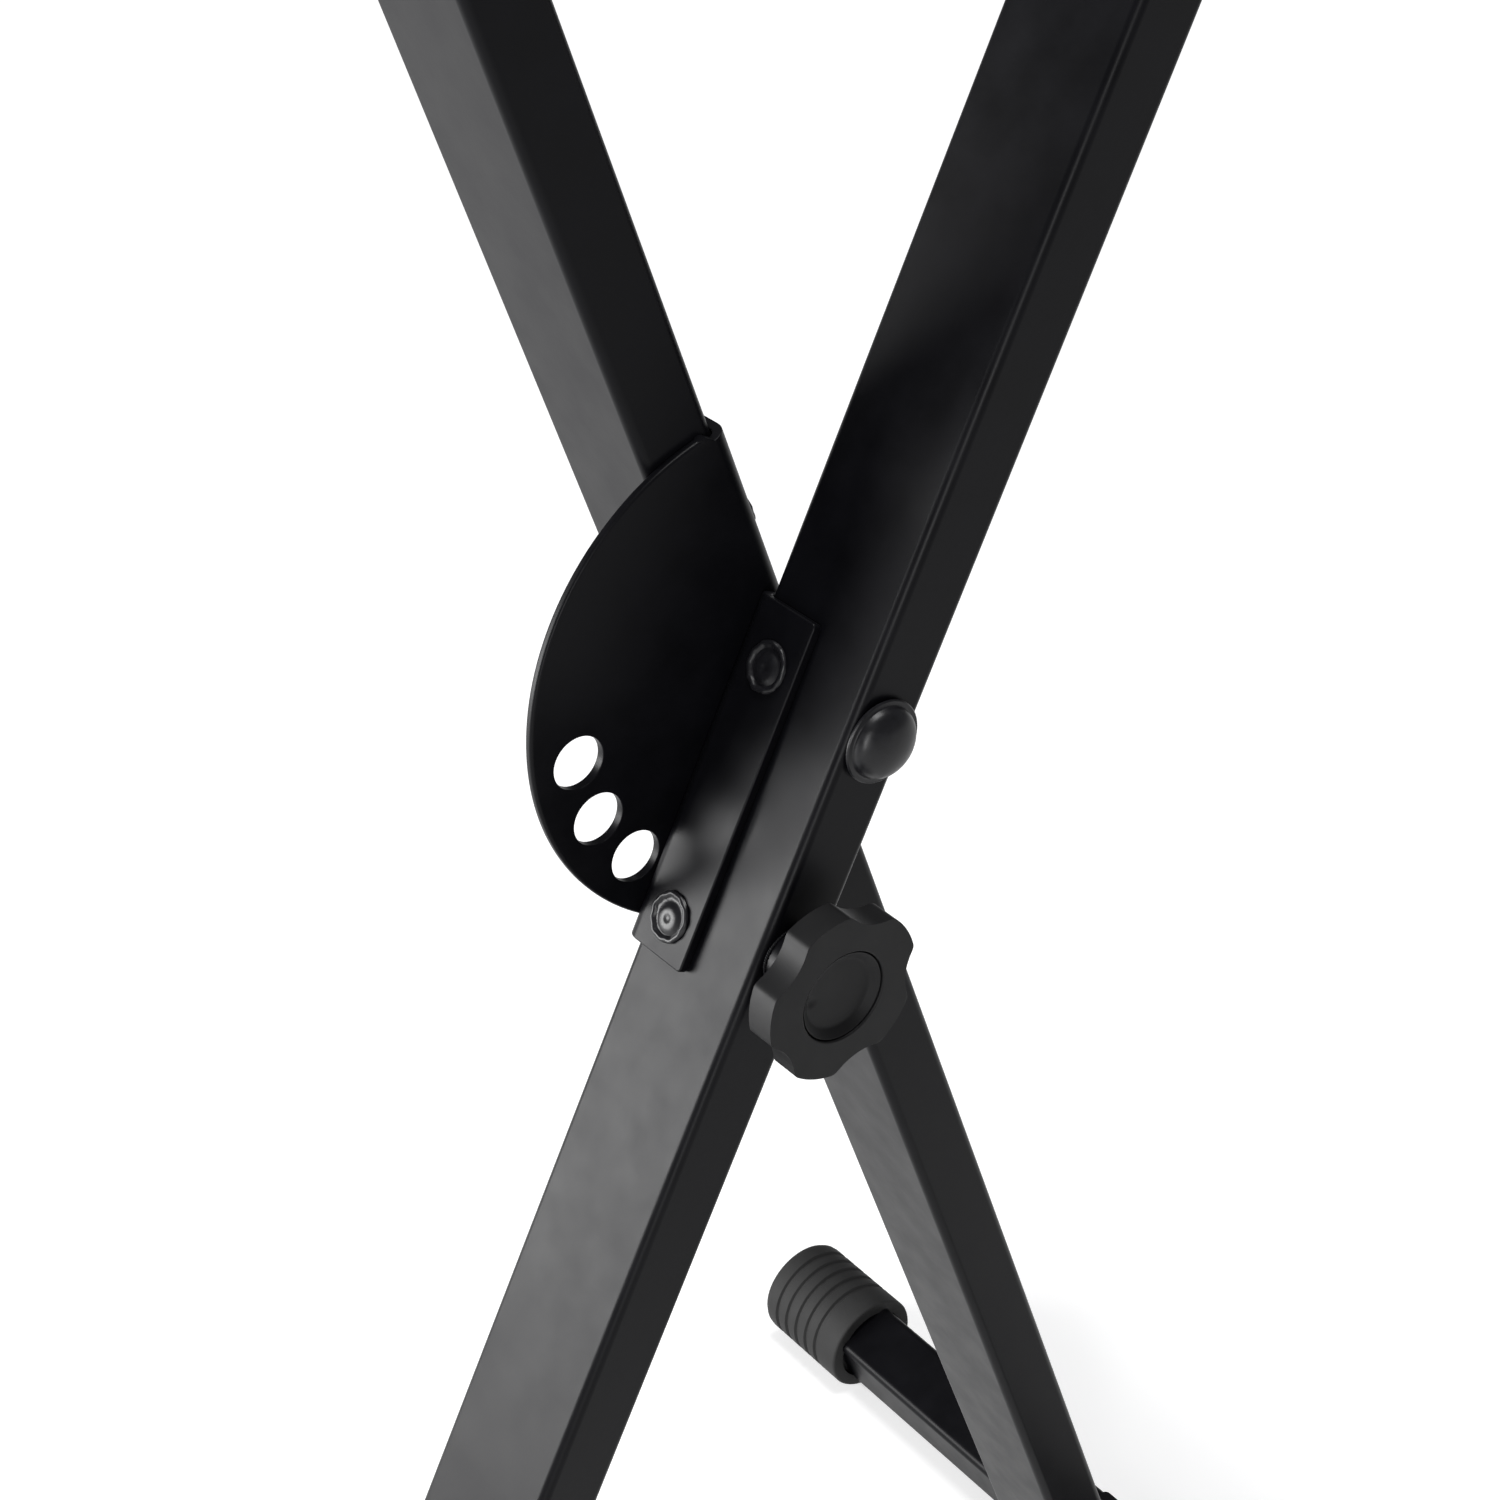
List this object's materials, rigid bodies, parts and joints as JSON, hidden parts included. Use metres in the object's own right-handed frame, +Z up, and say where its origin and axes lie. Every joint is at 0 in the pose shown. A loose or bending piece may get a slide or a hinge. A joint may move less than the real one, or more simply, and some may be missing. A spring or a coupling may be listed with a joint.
{
  "type": "folding keyboard stand",
  "caption": "Folding X-frame keyboard stand of rectangular black steel tube: half-round locking plate, star knob, floor bars with rubber feet and lipped support arms.",
  "frame": {"origin": "on the floor under the fold axis, half way between the two leg tubes, at the middle of the bounding box in X and Y", "axes": "+Z up, +Y to the back along the fold axis, +X to the right seen from the knob's side"},
  "size_m": [0.4802, 0.428, 0.9533],
  "materials": {
    "black_paint": "satin black powder coat on steel tube and sheet",
    "black_steel": "black coated steel bolts, nuts and rivets",
    "zinc_steel": "bright zinc-plated steel",
    "knob_plastic": "fine matt moulded black nylon",
    "rubber": "matt black moulded rubber"
  },
  "bodies": {
    "front_leg": {"front_leg_tube": "black_paint", "front_floor_plate": "black_paint", "front_floor_bar": "black_paint", "front_floor_bolt_1": "black_steel", "front_floor_bolt_2": "black_steel", "front_floor_nut_1": "black_steel", "front_floor_nut_2": "black_steel", "front_top_plate": "black_paint", "front_top_arm": "black_paint", "front_top_bolt_1": "black_steel", "front_top_bolt_2": "black_steel", "front_top_nut_1": "black_steel", "front_top_nut_2": "black_steel", "front_leg_foot_front": "rubber", "front_leg_foot_back": "rubber", "front_leg_arm_cap_front": "rubber", "front_leg_arm_cap_back": "rubber", "front_pivot_spacer": "zinc_steel", "front_bracket": "black_paint", "bracket_rivet_upper": "black_steel", "bracket_rivet_lower": "black_steel", "pivot_bolt": "black_steel", "pivot_washer": "zinc_steel", "pivot_lock_nut": "zinc_steel", "stud_boss": "black_paint"},
    "rear_leg": {"rear_leg_tube": "black_paint", "rear_floor_plate": "black_paint", "rear_floor_bar": "black_paint", "rear_floor_bolt_1": "black_steel", "rear_floor_bolt_2": "black_steel", "rear_floor_nut_1": "black_steel", "rear_floor_nut_2": "black_steel", "rear_top_plate": "black_paint", "rear_top_arm": "black_paint", "rear_top_bolt_1": "black_steel", "rear_top_bolt_2": "black_steel", "rear_top_nut_1": "black_steel", "rear_top_nut_2": "black_steel", "rear_leg_foot_front": "rubber", "rear_leg_foot_back": "rubber", "rear_leg_arm_cap_front": "rubber", "rear_leg_arm_cap_back": "rubber", "rear_pivot_spacer": "zinc_steel", "locking_plate": "black_paint", "plate_rivet_upper": "black_steel", "plate_rivet_lower": "black_steel"},
    "stud_clip": {"stud_clip": "zinc_steel"},
    "knob": {"knob_head": "knob_plastic", "knob_cap": "knob_plastic", "knob_stud": "zinc_steel"}
  },
  "joints": [
    {"name": "fold", "type": "hinge", "parent": "front_leg", "child": "rear_leg", "pos_m": [0, 0, 0.47212], "axis": [0, -1, 0], "range_deg": [-46.5, 57]},
    {"name": "knob_travel", "type": "slide", "parent": "front_leg", "child": "stud_clip", "axis": [0, 1, 0], "range_m": [0, 0.006]},
    {"name": "knob_turn", "type": "hinge", "parent": "stud_clip", "child": "knob", "pos_m": [-0.0227, -0.054, 0.41929], "axis": [0, 1, 0], "range_deg": [0, 1440]}
  ],
  "couplings": [
    {"joint": "knob_travel", "follows": "knob_turn", "m_per_rad": 0.00023873}
  ]
}
